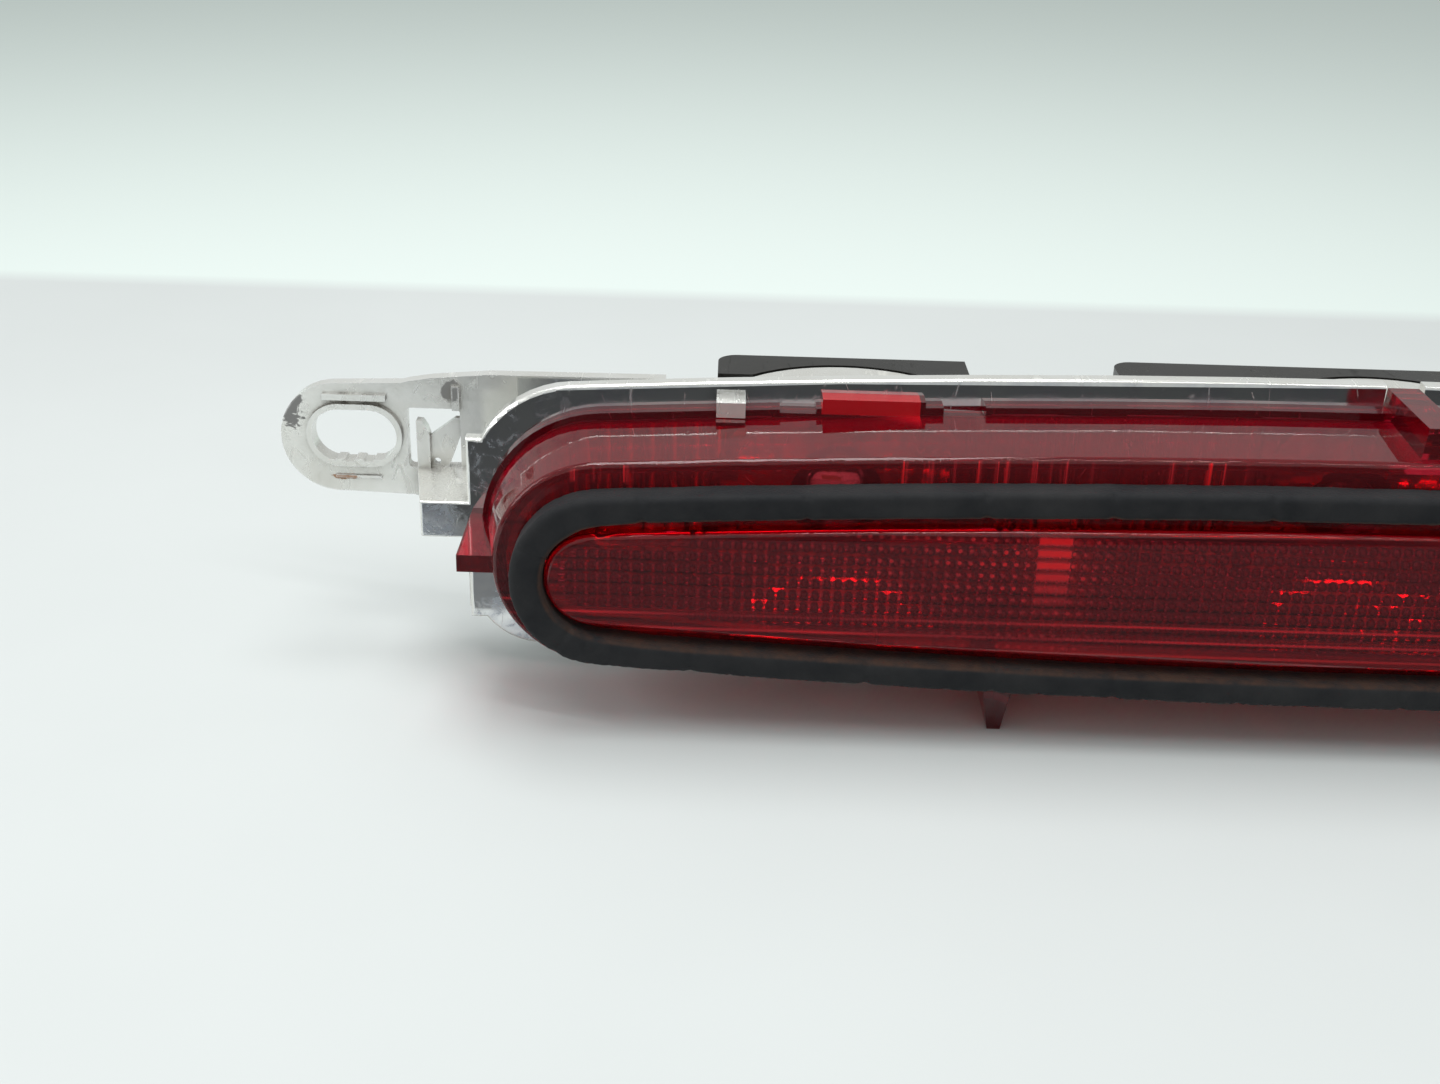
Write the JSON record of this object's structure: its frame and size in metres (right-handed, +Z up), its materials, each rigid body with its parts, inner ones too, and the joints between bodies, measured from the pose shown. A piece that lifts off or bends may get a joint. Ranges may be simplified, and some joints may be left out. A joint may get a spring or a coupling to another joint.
{
  "type": "third brake light",
  "caption": "Long bowed brake lamp: red lens in a mirror housing with slotted ears, foam gasket round a raised window, black bulb carrier behind.",
  "frame": {"origin": "middle of the foam gasket's front face, on the lens window's centre line", "axes": "+X along the lamp, -Y out of the lens, +Z up"},
  "size_m": [0.3818, 0.0626, 0.0578],
  "materials": {
    "metallised_plastic": "vacuum metallised mirror front, duller grey back, scratched",
    "red_acrylic": "clear red moulded plastic, polished",
    "sealant": "cured bead",
    "black_foam": "closed-cell foam, cut edges",
    "black_plastic": "moulded, satin",
    "brass": "stamped",
    "spring_brass": "tinned",
    "bulb_glass": "clear",
    "tungsten": "coiled wire",
    "steel_wire": "drawn wire"
  },
  "bodies": {
    "lamp": {"reflector_housing": "metallised_plastic", "lens": "red_acrylic", "lens_seal": "sealant", "panel_gasket": "black_foam"},
    "carrier": {"bulb_carrier": "black_plastic", "connector_shell": "black_plastic", "strip_live": "brass", "strip_earth": "brass", "terminal_live": "brass", "terminal_earth": "brass", "socket_contacts_1": "spring_brass", "socket_contacts_2": "spring_brass", "socket_contacts_3": "spring_brass"},
    "bulb_1": {"bulb_glass_1": "bulb_glass", "bulb_filament_1": "tungsten", "bulb_posts_1": "steel_wire"},
    "bulb_2": {"bulb_glass_2": "bulb_glass", "bulb_filament_2": "tungsten", "bulb_posts_2": "steel_wire"},
    "bulb_3": {"bulb_glass_3": "bulb_glass", "bulb_filament_3": "tungsten", "bulb_posts_3": "steel_wire"}
  },
  "joints": [
    {"name": "carrier_pull", "type": "slide", "parent": "lamp", "child": "carrier", "axis": [0, 1, 0], "range_m": [0, 0.04]},
    {"name": "bulb_1_pull", "type": "slide", "parent": "carrier", "child": "bulb_1", "axis": [0, -1, 0], "range_m": [0, 0.01]},
    {"name": "bulb_2_pull", "type": "slide", "parent": "carrier", "child": "bulb_2", "axis": [0, -1, 0], "range_m": [0, 0.01]},
    {"name": "bulb_3_pull", "type": "slide", "parent": "carrier", "child": "bulb_3", "axis": [0, -1, 0], "range_m": [0, 0.01]}
  ]
}
